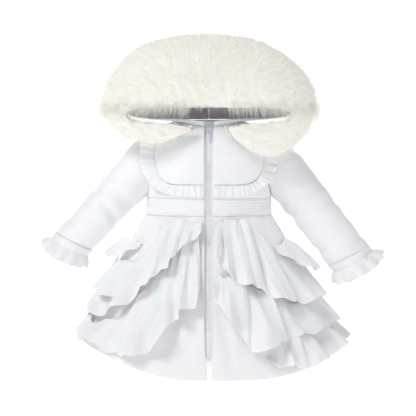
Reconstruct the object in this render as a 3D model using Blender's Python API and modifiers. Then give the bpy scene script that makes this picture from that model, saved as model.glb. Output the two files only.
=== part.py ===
"""A toddler's padded coat: fitted bodice, flared skirt with flounces, frilled bib and cuffs, fur-edged hood.

The coat is filled out as on a child who isn't there. The origin is the middle of the neckline, at the height
of the shoulders' inner ends. The front faces -Y, +X is the wearer's left and +Z is up. Everything is in metres.
"""

import math

import bmesh
import bpy
import numpy as np
from mathutils import Matrix, Vector
from mathutils.bvhtree import BVHTree

# Driving dimensions of the whole coat.
WALL = 0.0035
THIN_CLOTH = 0.0012
BIB_CLOTH = 0.0022
SEAM_GAP = 0.0003
LIE_GAP = 0.0006
BAND_TOP = -0.147
WAIST = -0.179
NECK_DROP = 0.014
HEM_FRONT = -0.470
HEM_BACK = -0.500
HEM_SIDE_LEFT = -0.424
HEM_SIDE_RIGHT = -0.406
ZIP_OPENING = 0.0160
ZIP_TOP = -0.0145
ZIP_BOTTOM = -0.430
BODY_POWER = 2.2
QUARTER = math.pi / 2


def table(columns, *rows):
    """A short table as named columns."""
    return dict(zip(columns.split(), np.array(rows, float).T))


def straight(rows, column, key, at):
    """A column read at any key, with straight lines between the rows."""
    return np.interp(at, rows[key], rows[column])


def smooth(rows, column, key, at):
    """A column read at any key, with a smooth curve through the rows."""
    knots, values = rows[key], rows[column]
    slopes = np.gradient(values, knots)
    at = np.clip(np.asarray(at, float), knots[0], knots[-1])
    low = np.clip(np.searchsorted(knots, at, side="right") - 1, 0, len(knots) - 2)
    span = knots[low + 1] - knots[low]
    t = (at - knots[low]) / span
    return (
        (2 * t**3 - 3 * t**2 + 1) * values[low]
        + (t**3 - 2 * t**2 + t) * span * slopes[low]
        + (3 * t**2 - 2 * t**3) * values[low + 1]
        + (t**3 - t**2) * span * slopes[low + 1]
    )


def ease(t):
    """A share from 0 to 1 with soft ends."""
    t = np.clip(t, 0, 1)
    return t * t * (3 - 2 * t)


def girth(angle, half_width, front_depth, back_depth, power=BODY_POWER):
    """X and Y of a point round the body; the angle is 0 at the front and a quarter turn at the wearer's left."""
    depth = np.where(np.cos(angle) > 0, front_depth, back_depth)
    across = np.abs(np.sin(angle) / half_width) ** power
    deep = np.abs(np.cos(angle) / depth) ** power
    reach = (across + deep) ** (-1 / power)
    return reach * np.sin(angle), -reach * np.cos(angle)


def stacked(x, y, z):
    return np.stack(np.broadcast_arrays(x, y, z), axis=-1).astype(float)


def moved_out(surface, u, v, distance):
    """Points of a surface, moved out along its normal; v runs up the cloth."""
    step = 2e-4
    along = surface(u + step, v) - surface(u - step, v)
    up = surface(u, v + step) - surface(u, v - step)
    normal = np.cross(along, up)
    normal /= np.linalg.norm(normal, axis=-1, keepdims=True)
    return surface(u, v) + np.asarray(distance)[..., None] * normal


def grid_normals(points):
    """Normals of a grid of points, rows first, from its neighbours."""
    normal = np.cross(np.gradient(points, axis=1), np.gradient(points, axis=0))
    return normal / np.maximum(np.linalg.norm(normal, axis=-1, keepdims=True), 1e-12)


# The objects and their colours.

WHITE_SATIN = ("white_satin", (0.93, 0.94, 0.96), 0.45)
WHITE_TAFFETA = ("white_taffeta", (0.94, 0.945, 0.96), 0.5)
CREAM_FUR = ("cream_fur", (0.93, 0.92, 0.87), 0.95)
ZIP_TAPE = ("zip_tape", (0.86, 0.86, 0.93), 0.7)
ZIP_NYLON = ("zip_nylon", (0.84, 0.84, 0.92), 0.35)
PAINTED_ZINC = ("painted_zinc", (0.88, 0.88, 0.93), 0.3)

parts = bpy.data.collections.new("padded_coat")
cutters = bpy.data.collections.new("cutters")


def material(finish):
    name, colour, roughness = finish
    found = bpy.data.materials.get(name)
    if found:
        return found
    made = bpy.data.materials.new(name)
    made.use_nodes = True
    shader = made.node_tree.nodes["Principled BSDF"]
    shader.inputs["Base Color"].default_value = (*colour, 1)
    shader.inputs["Roughness"].default_value = roughness
    return made


def new_object(name, points, faces, finish, collection=None):
    """A mesh object with its faces pointing out."""
    mesh = bpy.data.meshes.new(name)
    mesh.from_pydata([tuple(p) for p in np.reshape(points, (-1, 3))], [], faces)
    shape = bmesh.new()
    shape.from_mesh(mesh)
    bmesh.ops.recalc_face_normals(shape, faces=shape.faces)
    shape.to_mesh(mesh)
    shape.free()
    mesh.shade_smooth()
    mesh.set_sharp_from_angle(angle=math.radians(50))
    mesh.materials.append(material(finish))
    made = bpy.data.objects.new(name, mesh)
    (collection or parts).objects.link(made)
    return made


def grid_faces(rows, columns, closed, first=0):
    """The four-sided faces of a grid whose points start at a given number."""
    around = columns if closed else columns - 1
    faces = []
    for i in range(rows - 1):
        for j in range(around):
            k = (j + 1) % columns
            low, high = first + i * columns, first + (i + 1) * columns
            faces.append((low + j, low + k, high + k, high + j))
    return faces


def wall(name, outer, inner, finish, closed=False, collection=None):
    """A cloth wall between its outer and inner grids, joined by a strip at each free edge."""
    rows, columns = outer.shape[:2]
    inside = rows * columns
    faces = grid_faces(rows, columns, closed)
    faces += [tuple(reversed(f)) for f in grid_faces(rows, columns, closed, inside)]
    around = columns if closed else columns - 1
    for j in range(around):
        k = (j + 1) % columns
        last = (rows - 1) * columns
        faces.append((k, j, inside + j, inside + k))
        faces.append((last + j, last + k, inside + last + k, inside + last + j))
    if not closed:
        for i in range(rows - 1):
            a, b = i * columns, (i + 1) * columns
            c, d = a + columns - 1, b + columns - 1
            faces.append((a, b, inside + b, inside + a))
            faces.append((d, c, inside + c, inside + d))
    points = np.concatenate([outer.reshape(-1, 3), inner.reshape(-1, 3)])
    return new_object(name, points, faces, finish, collection)


def loft(name, rings, finish, collection=None):
    """A solid through closed rings, with a fan of faces over each end."""
    rows, columns = rings.shape[:2]
    faces = grid_faces(rows, columns, closed=True)
    points = rings.reshape(-1, 3)
    ends = np.array([rings[0].mean(axis=0), rings[-1].mean(axis=0)])
    first_middle = rows * columns
    last = (rows - 1) * columns
    for j in range(columns):
        k = (j + 1) % columns
        faces.append((k, j, first_middle))
        faces.append((last + j, last + k, first_middle + 1))
    return new_object(name, np.concatenate([points, ends]), faces, finish, collection)


def cut(target, cutter):
    """Cuts a hidden cutter's shape out of an object."""
    cutter.hide_render = True
    cutter.display_type = "WIRE"
    step = target.modifiers.new("cut_" + cutter.name, "BOOLEAN")
    step.operation = "DIFFERENCE"
    step.object = cutter


def surface_tree(*objects):
    """The evaluated faces of some objects, for finding where a ray meets them."""
    graph = bpy.context.evaluated_depsgraph_get()
    points, faces = [], []
    for item in objects:
        mesh = item.evaluated_get(graph).to_mesh()
        first = len(points)
        points += [v.co.copy() for v in mesh.vertices]
        faces += [[first + i for i in p.vertices] for p in mesh.polygons]
        item.evaluated_get(graph).to_mesh_clear()
    return BVHTree.FromPolygons(points, faces)


def kept_in_front(points, tree, clearance, spread=0.004):
    """Moves points forwards, towards -Y, until they and the spots beside them clear what lies behind."""
    kept = points.copy()
    offsets = [(0, 0), (spread, 0), (-spread, 0), (0, spread), (0, -spread)]
    for place in np.ndindex(points.shape[:-1]):
        x, y, z = points[place]
        for dx, dz in offsets:
            hit = tree.ray_cast(Vector((x + dx, -1, z + dz)), Vector((0, 1, 0)))[0]
            if hit is not None:
                kept[place][1] = min(kept[place][1], hit.y - clearance)
    return kept


# The body's shape: level sections from the waist seam up to the neckline.

TORSO = table(
    "height half_width front_depth back_depth",
    (-0.179, 0.1190, 0.086, 0.084),
    (-0.147, 0.1180, 0.087, 0.084),
    (-0.110, 0.1185, 0.089, 0.085),
    (-0.075, 0.1180, 0.087, 0.086),
    (-0.050, 0.1160, 0.082, 0.084),
    (-0.032, 0.1120, 0.075, 0.079),
    (-0.020, 0.1040, 0.067, 0.072),
    (-0.012, 0.0920, 0.061, 0.064),
    (-0.006, 0.0750, 0.055, 0.057),
    (0.000, 0.0580, 0.050, 0.050),
)
BODICE_ROWS = (0.0, 0.25, 0.48, 0.64, 0.76, 0.85, 0.91, 0.955, 1.0)
BAND_ROWS = (0.0, 0.17, 0.33, 0.5, 0.67, 0.83, 1.0)
BAND_PUFF = 0.0008


def torso(angle, height):
    """A point of the bodice's outer face."""
    width = smooth(TORSO, "half_width", "height", height)
    front = smooth(TORSO, "front_depth", "height", height)
    back = smooth(TORSO, "back_depth", "height", height)
    x, y = girth(angle, width, front, back)
    return stacked(x, y, height)


def neckline(angle):
    """The height of the neck seam, which dips at the front."""
    return -NECK_DROP * np.maximum(np.cos(angle), 0) ** 2


def front_angle(x, height):
    """The angle round the body of a point of its front face that is x from the middle."""
    width = smooth(TORSO, "half_width", "height", height)
    depth = smooth(TORSO, "front_depth", "height", height)
    share = np.clip(np.abs(x) / width, 0, 1) ** BODY_POWER
    return np.arctan2(x, depth * (1 - share) ** (1 / BODY_POWER))


def side_columns(first, last, count, power=1.0):
    """Angles from the front edge to the side seam, one row for each row of the panel."""
    share = np.linspace(0, 1, count) ** power
    return first[:, None] * (1 - share) + last[:, None] * share


def torso_panel(name, low, high, rows, kind, columns, puff=0.0):
    """A bodice or waistband panel: kind is the side, +1 or -1, of a front, or 0 for the back.

    With a puff, every second row stands out between rows of stitching.
    """
    share = np.array(rows)[:, None]
    half_seam = SEAM_GAP / 2 / float(smooth(TORSO, "half_width", "height", low))
    if kind:
        first = front_angle(np.full(len(rows), ZIP_OPENING / 2), np.full(len(rows), low))
        angle = side_columns(first, np.full(len(rows), QUARTER - half_seam), columns)
    else:
        ends = np.linspace(QUARTER + half_seam, 3 * QUARTER - half_seam, columns)
        angle = np.tile(ends, (len(rows), 1))
    top = high(angle) if callable(high) else np.full_like(angle, high)
    height = low + share * (top - low)
    if kind:
        edge = front_angle(ZIP_OPENING / 2, height[:, :1])
        angle = edge + (angle - angle[:, :1]) * (QUARTER - half_seam - edge) / (
            QUARTER - half_seam - angle[:, :1]
        )
        angle = angle * kind
    raised = np.where(np.arange(len(rows)) % 2, puff, 0.0)[:, None] + 0 * angle
    outer = moved_out(torso, angle, height, raised)
    inner = moved_out(torso, angle, height, -WALL)
    return wall(name, outer, inner, WHITE_SATIN)


def make_bodice():
    """Two fronts and a back, cut away at the armholes."""
    low = BAND_TOP + SEAM_GAP / 2
    left = torso_panel("bodice_front_left", low, neckline, BODICE_ROWS, 1, 11)
    right = torso_panel("bodice_front_right", low, neckline, BODICE_ROWS, -1, 11)
    back = torso_panel("bodice_back", low, neckline, BODICE_ROWS, 0, 19)
    return left, right, back


def make_waistband():
    """A band cut as two fronts and a back, puffed between its level rows of stitching."""
    low, high = WAIST + SEAM_GAP / 2, BAND_TOP - SEAM_GAP / 2
    torso_panel("waistband_front_left", low, high, BAND_ROWS, 1, 9, BAND_PUFF)
    torso_panel("waistband_front_right", low, high, BAND_ROWS, -1, 9, BAND_PUFF)
    torso_panel("waistband_back", low, high, BAND_ROWS, 0, 17, BAND_PUFF)


# The armholes: a level oval hole through the bodice's wall on each side.

ARMHOLE_MIDDLE = (0.115, -0.081)
ARMHOLE_HALF_HEIGHT = 0.046
ARMHOLE_HALF_DEPTH = 0.043


def cut_armholes(fronts, back):
    for side, front in zip((1, -1), fronts):
        bpy.ops.mesh.primitive_cylinder_add(vertices=20, radius=1, depth=0.09)
        cutter = bpy.context.object
        cutter.name = "armhole_cutter_" + ("left" if side > 0 else "right")
        cutter.data.transform(Matrix.Diagonal((ARMHOLE_HALF_HEIGHT, ARMHOLE_HALF_DEPTH, 1, 1)))
        cutter.rotation_euler = (0, QUARTER, 0)
        cutter.location = (side * ARMHOLE_MIDDLE[0], 0, ARMHOLE_MIDDLE[1])
        for collection in cutter.users_collection:
            collection.objects.unlink(cutter)
        cutters.objects.link(cutter)
        cut(front, cutter)
        cut(back, cutter)


# The sleeves: sections from the armhole to the cuff seam, each given by its top and bottom points seen from
# the front. The two arms hang at slightly different angles.

SLEEVE_COLUMNS = "along top_x top_z bottom_x bottom_z half_depth middle_y"
SLEEVE_LEFT = table(
    SLEEVE_COLUMNS,
    (0.0, 0.0860, -0.0260, 0.0900, -0.1280, 0.0440, 0.000),
    (1.0, 0.1300, -0.0290, 0.1215, -0.1480, 0.0510, 0.000),
    (2.0, 0.1600, -0.0520, 0.1340, -0.1630, 0.0480, 0.000),
    (3.0, 0.1860, -0.0840, 0.1460, -0.1770, 0.0450, -0.002),
    (4.0, 0.2110, -0.1160, 0.1620, -0.1960, 0.0430, -0.004),
    (5.0, 0.2420, -0.1580, 0.1800, -0.2170, 0.0410, -0.006),
    (6.0, 0.2720, -0.1980, 0.2020, -0.2460, 0.0390, -0.008),
    (7.0, 0.3010, -0.2350, 0.2250, -0.2770, 0.0370, -0.010),
)
SLEEVE_RIGHT = table(
    SLEEVE_COLUMNS,
    (0.0, 0.0860, -0.0260, 0.0900, -0.1280, 0.0440, 0.000),
    (1.0, 0.1260, -0.0300, 0.1190, -0.1470, 0.0510, 0.000),
    (2.0, 0.1540, -0.0560, 0.1335, -0.1595, 0.0480, 0.000),
    (3.0, 0.1800, -0.0860, 0.1475, -0.1705, 0.0450, -0.002),
    (4.0, 0.2050, -0.1160, 0.1605, -0.1845, 0.0420, -0.004),
    (5.0, 0.2350, -0.1510, 0.1815, -0.2075, 0.0390, -0.006),
    (6.0, 0.2630, -0.1830, 0.2035, -0.2285, 0.0370, -0.008),
    (7.0, 0.2890, -0.2120, 0.2205, -0.2475, 0.0350, -0.010),
)
SLEEVE_ROUND = 20


def sleeve_surface(rows, side):
    """The outer face of a sleeve as a function of the turn round it and the place along it."""

    def surface(turn, along):
        read = {name: smooth(rows, name, "along", along) for name in rows}
        middle_x = (read["top_x"] + read["bottom_x"]) / 2
        middle_z = (read["top_z"] + read["bottom_z"]) / 2
        up_x = (read["top_x"] - read["bottom_x"]) / 2
        up_z = (read["top_z"] - read["bottom_z"]) / 2
        x = middle_x + up_x * np.cos(turn)
        y = read["middle_y"] - side * read["half_depth"] * np.sin(turn)
        z = middle_z + up_z * np.cos(turn)
        return stacked(side * x, y, z)

    return surface


def torso_cutter():
    """The bodice as a solid, a seam gap bigger than its outer face."""
    angle = np.linspace(0, 4 * QUARTER, 72, endpoint=False)[None, :]
    height = -0.16 + 0.1595 * np.sin(np.linspace(0, QUARTER, 22))
    rings = moved_out(torso, angle + 0 * height[:, None], height[:, None] + 0 * angle, 2 * SEAM_GAP)
    return loft("torso_cutter", rings, WHITE_SATIN, cutters)


def make_sleeve(name, rows, side, cutter):
    """A sleeve of one piece, trimmed to the bodice."""
    turn = np.linspace(0, 4 * QUARTER, SLEEVE_ROUND, endpoint=False)[None, :]
    along = np.array([0.1, 0.7, 1.3, 2, 3, 4, 5, 6, 7], float)[:, None]
    turn, along = turn + 0 * along, along + 0 * turn
    surface = sleeve_surface(rows, side)
    outer = surface(turn, along)
    middles = outer.mean(axis=1, keepdims=True)
    spokes = outer - middles
    lengths = np.linalg.norm(spokes, axis=-1, keepdims=True)
    inner = middles + spokes * (1 - WALL / lengths)
    made = wall(name, outer, inner, WHITE_SATIN, closed=True)
    cut(made, cutter)
    return made


# The cuffs: an elastic casing that draws the sleeve in, then a frill that flares from it.

CUFF = table(
    "reach spread wave",
    (0.000, 1.00, 0.0000),
    (0.008, 1.00, 0.0006),
    (0.012, 0.92, 0.0008),
    (0.018, 1.17, 0.0024),
    (0.031, 1.26, 0.0048),
)
CUFF_DROOP = 0.012
CUFF_WAVES = 12
CUFF_STEPS = 4


def make_cuff(name, rows, side):
    """The casing and frill, in one length of cloth gathered at the elastic."""
    columns = CUFF_WAVES * CUFF_STEPS
    turn = np.linspace(0, 4 * QUARTER, columns, endpoint=False)
    surface = sleeve_surface(rows, side)
    end = surface(turn, np.full(columns, 7.0))
    before = surface(turn, np.full(columns, 6.5))
    middle = end.mean(axis=0)
    axis = middle - before.mean(axis=0)
    axis /= np.linalg.norm(axis)
    spokes = end - middle
    spokes -= np.outer(spokes @ axis, axis)
    radius = np.linalg.norm(spokes, axis=1, keepdims=True)
    tilt = (end - middle) @ axis
    wave = np.cos(CUFF_WAVES * turn) * (1 + 0.35 * np.sin(3 * turn + side))
    front = np.clip(-spokes[:, 1] / radius[:, 0], 0, 1)
    rings_out, rings_in = [], []
    for reach, spread, height in zip(CUFF["reach"], CUFF["spread"], CUFF["wave"]):
        droop = CUFF_DROOP * front * reach / CUFF["reach"][-1]
        base = middle + np.outer(SEAM_GAP + 0.0002 + reach + tilt + droop, axis)
        size = radius * spread + height * wave[:, None]
        unit = spokes / radius
        rings_out.append(base + unit * size)
        rings_in.append(base + unit * (size - THIN_CLOTH))
    return wall(name, np.array(rings_out), np.array(rings_in), WHITE_TAFFETA, closed=True)


# The skirt: a flared cone that hangs lower at the front and back than at the sides, gathered into the waist
# seam and falling in soft folds.

SKIRT = table(
    "drop half_width front_depth back_depth",
    (0.0, 0.1190, 0.086, 0.084),
    (0.5, 0.1860, 0.122, 0.120),
    (1.0, 0.2520, 0.158, 0.152),
)
HEM_POWER_LEFT = 6.0
HEM_POWER_RIGHT = 3.4
FRONT_GATHERS = 5
BACK_GATHERS = 10
GATHER_DEPTH = 0.0030
FOLD_DEPTH = 0.012
SKIRT_ROWS = (0.0, 0.06, 0.18, 0.37, 0.59, 0.81, 1.0)
VENT_START = 0.87


def hem_height(angle):
    """The height of the hem round the coat."""
    middle = np.where(np.cos(angle) > 0, HEM_FRONT, HEM_BACK)
    side = np.where(np.sin(angle) > 0, HEM_SIDE_LEFT, HEM_SIDE_RIGHT)
    power = np.where(np.sin(angle) > 0, HEM_POWER_LEFT, HEM_POWER_RIGHT)
    return middle + (side - middle) * np.abs(np.sin(angle)) ** power


def fold_depth(angle, drop):
    """How far the cloth falls in from the skirt's smooth outer shape."""
    turned = np.arccos(np.clip(np.cos(angle), -1, 1))
    front = turned < QUARTER
    share = np.where(front, turned / QUARTER, (turned - QUARTER) / (2 * QUARTER) * 2)
    gathers = np.where(front, FRONT_GATHERS * share, BACK_GATHERS * share / 2)
    waves = 0.5 - 0.5 * np.cos(2 * math.pi * gathers)
    uneven = 0.75 + 0.25 * np.sin(5.3 * angle + 0.8)
    calm = ease((turned - 0.16) / 0.35)
    gathered = GATHER_DEPTH * np.exp(-((drop / 0.42) ** 2)) * waves
    folds = 0.5 - 0.5 * np.cos(2 * math.pi * gathers / 2 + 0.5 * np.sin(2 * angle))
    back = np.where(front, 0.45, 1.0)
    falling = FOLD_DEPTH * back * ease((drop - 0.1) / 0.9) * folds
    return (gathered + falling) * calm * uneven


def skirt_envelope(angle, rise):
    """The skirt's smooth outer shape; rise is 1 at the waist seam and 0 at the hem."""
    drop = 1 - rise
    width = smooth(SKIRT, "half_width", "drop", drop)
    front = smooth(SKIRT, "front_depth", "drop", drop)
    back = smooth(SKIRT, "back_depth", "drop", drop)
    x, y = girth(angle, width, front, back)
    height = WAIST + drop * (hem_height(angle) - WAIST)
    return stacked(x, y, height)


def skirt_point(angle, drop, out):
    return moved_out(skirt_envelope, angle, 1 - drop, out)


def skirt_panel(name, kind, columns):
    """A skirt panel: kind is the side of a front, or 0 for the back."""
    drop = np.array(SKIRT_ROWS)[:, None]
    half_seam = SEAM_GAP / 2 / 0.119
    if kind:
        opening = ZIP_OPENING / 2 * (1 - 0.72 * ease((drop - VENT_START) / (1 - VENT_START)))
        edge = np.arctan2(opening, smooth(SKIRT, "front_depth", "drop", drop))
        share = np.linspace(0, 1, columns)[None, :]
        angle = kind * (edge + (QUARTER - half_seam - edge) * share)
    else:
        ends = np.linspace(QUARTER + half_seam, 3 * QUARTER - half_seam, columns)
        angle = ends[None, :] + 0 * drop
    depth = fold_depth(angle, drop)
    gap = np.where(drop == 0, SEAM_GAP, 0.0)
    outer = skirt_point(angle, drop + 0 * angle, -depth)
    inner = skirt_point(angle, drop + 0 * angle, -depth - WALL)
    outer[..., 2] -= gap
    inner[..., 2] -= gap
    return wall(name, outer, inner, WHITE_TAFFETA)


def make_skirt():
    left = skirt_panel("skirt_front_left", 1, FRONT_GATHERS * 4 + 1)
    right = skirt_panel("skirt_front_right", -1, FRONT_GATHERS * 4 + 1)
    back = skirt_panel("skirt_back", 0, BACK_GATHERS * 4 + 1)
    return left, right, back


# The flounces: wavy strips cut in curves, sewn to the skirt along their upper edge. Each row is a station
# along the strip, with the angle from the front and the drop from the waist of its seam and of its free edge,
# how far the edge stands off in the hollows, and how much further at the crests.

FLOUNCE = "station root_angle root_drop edge_angle edge_drop lift wave"
FLOUNCES = {
    "flounce_left_side": (1, 3, 0.4, table(
        FLOUNCE,
        (0.0, 62, 0.200, 63, 0.250, 0.001, 0.004),
        (1.0, 78, 0.195, 79, 0.450, 0.018, 0.012),
        (2.0, 92, 0.200, 92, 0.470, 0.020, 0.012),
    )),
    "flounce_left_top": (1, 6, 1.3, table(
        FLOUNCE,
        (0.0, 8, 0.030, 4.5, 0.190, 0.003, 0.014),
        (1.0, 13, 0.030, 8, 0.300, 0.006, 0.022),
        (2.0, 24, 0.028, 20, 0.400, 0.006, 0.024),
        (3.0, 38, 0.030, 36, 0.450, 0.006, 0.022),
        (4.0, 51, 0.100, 50, 0.545, 0.008, 0.022),
        (5.0, 63, 0.330, 65, 0.620, 0.008, 0.020),
        (6.0, 78, 0.385, 80, 0.640, 0.008, 0.018),
        (7.0, 92, 0.400, 93, 0.640, 0.002, 0.010),
    )),
    "flounce_left_middle": (1, 5, 1.3, table(
        FLOUNCE,
        (0.0, 5.5, 0.360, 3.5, 0.405, 0.002, 0.008),
        (1.0, 12, 0.365, 6, 0.520, 0.004, 0.020),
        (2.0, 23, 0.370, 18, 0.680, 0.006, 0.022),
        (3.0, 35, 0.415, 31, 0.840, 0.006, 0.020),
        (4.0, 48, 0.500, 46, 0.780, 0.006, 0.018),
        (5.0, 62, 0.585, 62, 0.805, 0.006, 0.016),
        (6.0, 78, 0.610, 78, 0.820, 0.006, 0.019),
        (7.0, 92, 0.610, 92, 0.800, 0.004, 0.010),
    )),
    "flounce_left_low": (1, 5, 1.3, table(
        FLOUNCE,
        (0.0, 41, 0.775, 36, 0.890, 0.002, 0.008),
        (1.0, 50, 0.745, 44, 0.945, 0.004, 0.016),
        (2.0, 60, 0.765, 55, 0.985, 0.006, 0.018),
        (3.0, 71, 0.775, 69, 0.985, 0.006, 0.018),
        (4.0, 82, 0.795, 81, 0.975, 0.006, 0.020),
        (5.0, 92, 0.790, 92, 0.960, 0.002, 0.012),
    )),
    "flounce_right_side": (-1, 3, 0.4, table(
        FLOUNCE,
        (0.0, 64, 0.190, 65, 0.240, 0.001, 0.004),
        (1.0, 79, 0.200, 80, 0.385, 0.014, 0.012),
        (2.0, 92, 0.205, 92, 0.390, 0.016, 0.010),
    )),
    "flounce_right_top": (-1, 7, 1.3, table(
        FLOUNCE,
        (0.0, 8, 0.025, 8, 0.105, 0.003, 0.008),
        (1.0, 15, 0.028, 16, 0.135, 0.006, 0.012),
        (2.0, 26, 0.028, 27, 0.200, 0.008, 0.020),
        (3.0, 36, 0.030, 35, 0.330, 0.008, 0.024),
        (4.0, 47, 0.060, 46, 0.470, 0.008, 0.024),
        (5.0, 58, 0.290, 56, 0.640, 0.008, 0.022),
        (6.0, 69, 0.345, 66, 0.640, 0.008, 0.022),
        (7.0, 81, 0.360, 79, 0.630, 0.005, 0.015),
        (8.0, 92, 0.370, 93, 0.610, 0.002, 0.008),
    )),
    "flounce_right_middle": (-1, 3, 1.1, table(
        FLOUNCE,
        (0.0, 62, 0.605, 61, 0.645, 0.004, 0.006),
        (1.0, 71, 0.600, 68, 0.780, 0.006, 0.014),
        (2.0, 82, 0.595, 80, 0.780, 0.005, 0.012),
        (3.0, 92, 0.580, 92, 0.760, 0.001, 0.006),
    )),
    "flounce_right_low": (-1, 6, 1.3, table(
        FLOUNCE,
        (0.0, 9, 0.110, 8, 0.400, 0.002, 0.014),
        (1.0, 17, 0.115, 12, 0.575, 0.006, 0.024),
        (2.0, 27, 0.175, 21, 0.610, 0.006, 0.026),
        (3.0, 36, 0.300, 28, 0.700, 0.006, 0.024),
        (4.0, 46, 0.440, 37, 0.860, 0.006, 0.022),
        (5.0, 55, 0.660, 50, 0.955, 0.006, 0.018),
        (6.0, 65, 0.790, 65, 0.970, 0.006, 0.014),
        (7.0, 80, 0.800, 79, 0.955, 0.003, 0.008),
        (8.0, 92, 0.785, 92, 0.940, 0.001, 0.004),
    )),
}
FLOUNCE_FOLD = 0.42
FLOUNCE_STEPS = 6
FLOUNCE_ROWS = (0.0, 0.3, 0.64, 1.0)


def flounce_points(side, waves, spring, rows, station, out_share):
    """The inner face of a flounce at stations along it and shares of its width."""
    last = rows["station"][-1]
    along = station / last
    phase = 2 * math.pi * (waves * along + 0.1 * np.sin(2 * math.pi * along) * (1 + side * 0.3))
    ends = ease(along * waves * 2) * ease((1 - along) * waves * 2)
    fold = FLOUNCE_FOLD * last / waves / (2 * math.pi)
    swung = station + fold * out_share**1.3 * np.sin(2 * phase) * ends
    root_angle = smooth(rows, "root_angle", "station", station)
    root_drop = smooth(rows, "root_drop", "station", station)
    edge_angle = smooth(rows, "edge_angle", "station", swung)
    edge_drop = smooth(rows, "edge_drop", "station", swung)
    angle = root_angle + (edge_angle - root_angle) * out_share
    drop = root_drop + (edge_drop - root_drop) * out_share
    lift = smooth(rows, "lift", "station", station) * out_share**spring
    crest = smooth(rows, "wave", "station", station) * out_share**1.1 * (0.5 - 0.5 * np.cos(phase))
    return skirt_point(side * np.radians(angle), drop, LIE_GAP + lift + crest)


def make_flounce(name, side, waves, spring, rows):
    stations = np.linspace(0, rows["station"][-1], waves * FLOUNCE_STEPS + 1)[None, :]
    shares = np.array(FLOUNCE_ROWS)[:, None]
    station, share = stations + 0 * shares, shares + 0 * stations
    inner = flounce_points(side, waves, spring, rows, station, share)
    normal = grid_normals(inner)
    facing = np.sign((normal * inner * (1, 1, 0)).sum())
    outer = inner + facing * normal * THIN_CLOTH
    return wall(name, outer, inner, WHITE_TAFFETA)


# The bib: a rounded panel over each side of the chest, edged with a gathered frill.

BIB = table(
    "height half_width",
    (-0.1205, 0.0640),
    (-0.1180, 0.0760),
    (-0.1120, 0.0860),
    (-0.1010, 0.0930),
    (-0.0840, 0.0975),
    (-0.0650, 0.0995),
    (-0.0480, 0.0985),
    (-0.0340, 0.0945),
    (-0.0240, 0.0860),
    (-0.0175, 0.0740),
)
BIB_INNER_X = 0.0090
BIB_COLUMNS = 8
BIB_ROWS = 11
FRILL_GAP = 0.0009
FRILL_SHORT = 0.034
FRILL_SLOPE = 0.1
FRILL_WIDTH = table(
    "turn width",
    (-0.1, 0.023),
    (0.1, 0.019),
    (0.9, 0.021),
    (1.5, 0.029),
    (2.3, 0.026),
)
FRILL_WAVES = 12
FRILL_STEPS = 4
FRILL_WAVE = 0.0042
FRILL_SHARES = (0.0, 0.5, 1.0)


def bib_curve(count):
    """X and height of points along the bib's rounded edge, from its lower corner up."""
    x, z = BIB["half_width"], BIB["height"]
    run = np.concatenate([[0], np.cumsum(np.hypot(np.diff(x), np.diff(z)))])
    curve = table("run x z", *zip(run, x, z))
    at = np.linspace(0, run[-1], count)
    return smooth(curve, "x", "run", at), smooth(curve, "z", "run", at)


def bib_seam():
    """Points along the whole of the bib's outer seam, from the zip round to the shoulder."""
    x, z = bib_curve(60)
    lower = np.linspace(BIB_INNER_X, x[0], 25)[:-1]
    x, z = np.concatenate([lower, x]), np.concatenate([np.full(24, z[0]), z])
    run = np.concatenate([[0], np.cumsum(np.hypot(np.diff(x), np.diff(z)))])
    return table("run x z", *zip(run, x, z))


def make_bib(name, side):
    """The flat panel, made from the bodice's own points moved out."""
    edge_x, edge_z = bib_curve(BIB_ROWS)
    share = np.linspace(0, 1, BIB_COLUMNS)[None, :]
    x = BIB_INNER_X + (edge_x[:, None] - BIB_INNER_X) * share
    height = edge_z[:, None] + 0 * share
    angle = side * front_angle(x, height)
    inner = moved_out(torso, angle, height, LIE_GAP)
    outer = moved_out(torso, angle, height, LIE_GAP + BIB_CLOTH)
    return wall(name, outer, inner, WHITE_TAFFETA)


def make_bib_frill(name, side, tree):
    """The gathered strip that runs round the bib's edge."""
    seam = bib_seam()
    count = FRILL_WAVES * FRILL_STEPS + 1
    run = np.linspace(0.0005, seam["run"][-1] - FRILL_SHORT, count)
    x = straight(seam, "x", "run", run)
    z = straight(seam, "z", "run", run)
    along_x = np.gradient(x)
    along_z = np.gradient(z)
    length = np.hypot(along_x, along_z)
    away = np.stack([along_z / length, -along_x / length], axis=1)
    share = np.array(FRILL_SHARES)[:, None]
    width = straight(FRILL_WIDTH, "width", "turn", np.arctan2(away[:, 0], -away[:, 1]))
    reach = FRILL_GAP + share * width[None, :]
    place_x = x[None, :] + away[None, :, 0] * reach
    height = z[None, :] + away[None, :, 1] * reach
    first = moved_out(torso, front_angle(place_x[0], height[0]), height[0], LIE_GAP)
    base = stacked(side * place_x, first[None, :, 1] + FRILL_SLOPE * share * width, height)
    kept = kept_in_front(base, tree, LIE_GAP, spread=0.002)
    base = base + (kept - base) * ease(share / 0.35)[..., None]
    phase = 2 * math.pi * FRILL_WAVES * np.linspace(0, 1, count)[None, :]
    uneven = 0.8 + 0.2 * np.sin(0.37 * phase + side)
    lift = FRILL_WAVE * share * uneven * (0.5 - 0.5 * np.cos(phase))
    inner = base + lift[..., None] * np.array([0, -1, 0])
    normal = grid_normals(inner)
    facing = np.sign(normal[..., 1].sum())
    outer = inner - facing * normal * THIN_CLOTH
    return wall(name, outer, inner, WHITE_TAFFETA)


# The hood: a soft bag of two halves with a seam down its middle. It has fallen shut, so its mouth is a level
# slit over the neck. Each row is a line of the cloth from the neck seam over to the edge of the mouth.

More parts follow.
